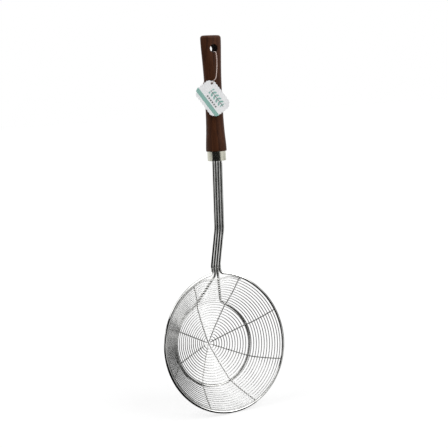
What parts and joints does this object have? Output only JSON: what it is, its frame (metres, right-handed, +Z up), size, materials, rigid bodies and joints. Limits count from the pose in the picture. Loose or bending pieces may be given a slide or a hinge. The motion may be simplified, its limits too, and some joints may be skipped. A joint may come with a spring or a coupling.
{
  "type": "spider skimmer",
  "caption": "Wire spider skimmer: a round dished bowl wound from thin wire, held by a thick rim and a support ring, on a wire shaft with an oval wooden handle; a card tag hangs on a string.",
  "frame": {"origin": "centre of the hang hole through the handle, where the skimmer hangs", "axes": "+Z up along the handle towards its butt, -Y the way the bowl's mouth and the tag face, +X to the right seen from the mouth"},
  "size_m": [0.1632, 0.0683, 0.445],
  "materials": {
    "wood": "satin",
    "ferrule_metal": "satin",
    "wire": "polished",
    "card": "matte",
    "string": "matte"
  },
  "bodies": {
    "skimmer": {"handle": "wood", "ferrule": "ferrule_metal", "rim_wire": "wire", "support_wire": "wire", "spiral_wire": "wire", "cross_wire": "wire", "spoke_1": "wire", "spoke_2": "wire", "spoke_3": "wire", "spoke_4": "wire", "spoke_5": "wire", "spoke_6": "wire", "tag_string": "string", "string_knot": "string"},
    "tag": {"hang_tag": "card"}
  },
  "joints": [
    {"name": "tag_turn", "type": "hinge", "parent": "skimmer", "child": "tag", "pos_m": [-0.00778, -0.01175, -0.0394], "axis": [-0.454, -0.891, 0], "range_deg": [-80, 80]}
  ]
}
